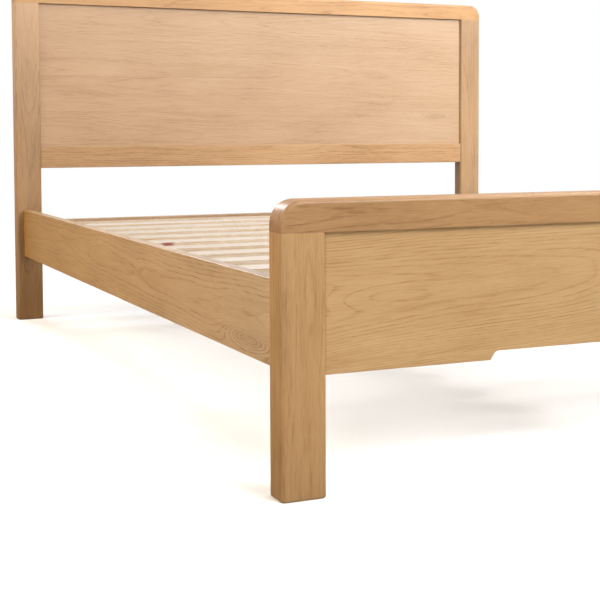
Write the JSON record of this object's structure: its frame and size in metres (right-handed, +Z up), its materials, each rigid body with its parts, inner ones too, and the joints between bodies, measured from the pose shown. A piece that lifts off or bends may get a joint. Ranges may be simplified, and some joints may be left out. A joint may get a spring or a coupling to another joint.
{
  "type": "bed frame",
  "caption": "Solid oak bed frame with a panelled headboard, a low footboard with a round-shouldered cap rail, and pine slats to carry a mattress.",
  "frame": {"origin": "on the floor, in the middle of the bed's width and length", "axes": "+Y towards the headboard, +Z up, +X to the right seen from the foot of the bed"},
  "size_m": [1.61, 2.116, 1.001],
  "materials": {
    "oak_frame": "satin lacquered oak",
    "oak_panel": "satin lacquered oak with sweeping crown-cut figure",
    "oak_board": "satin lacquered pale oak",
    "pine": "planed bare pine",
    "beech": "bare beech dowel",
    "zinc_steel": "bright zinc plate",
    "glide_plastic": "moulded black plastic"
  },
  "bodies": {
    "root": {"foot_post_left": "oak_frame", "foot_post_right": "oak_frame", "foot_cap_rail": "oak_frame", "head_post_left": "oak_frame", "head_post_right": "oak_frame", "head_cap_rail": "oak_frame", "head_bottom_rail": "oak_frame", "head_cross_rail": "oak_frame", "head_cleat": "pine", "cleat_screws": "zinc_steel", "side_rail_left": "oak_frame", "side_rail_right": "oak_frame", "foot_panel": "oak_panel", "head_board_1": "oak_board", "head_board_2": "oak_board", "head_board_3": "oak_board", "head_board_4": "oak_board", "slat_01": "pine", "slat_02": "pine", "slat_03": "pine", "slat_04": "pine", "slat_05": "pine", "slat_06": "pine", "slat_07": "pine", "slat_08": "pine", "slat_09": "pine", "slat_10": "pine", "slat_11": "pine", "slat_12": "pine", "ledger_left": "pine", "ledger_right": "pine", "centre_beam": "pine", "centre_leg": "pine", "foot_dowels": "beech", "head_dowels": "beech", "rail_dowels": "beech", "ledger_screws": "zinc_steel", "post_inserts": "zinc_steel", "rail_studs": "zinc_steel", "half_moon_washers": "zinc_steel", "rail_nuts": "zinc_steel", "slat_screws": "zinc_steel", "beam_bracket_foot": "zinc_steel", "beam_bracket_head": "zinc_steel", "bracket_screws": "zinc_steel", "leg_stud": "zinc_steel", "leg_glide": "glide_plastic"}
  },
  "joints": []
}
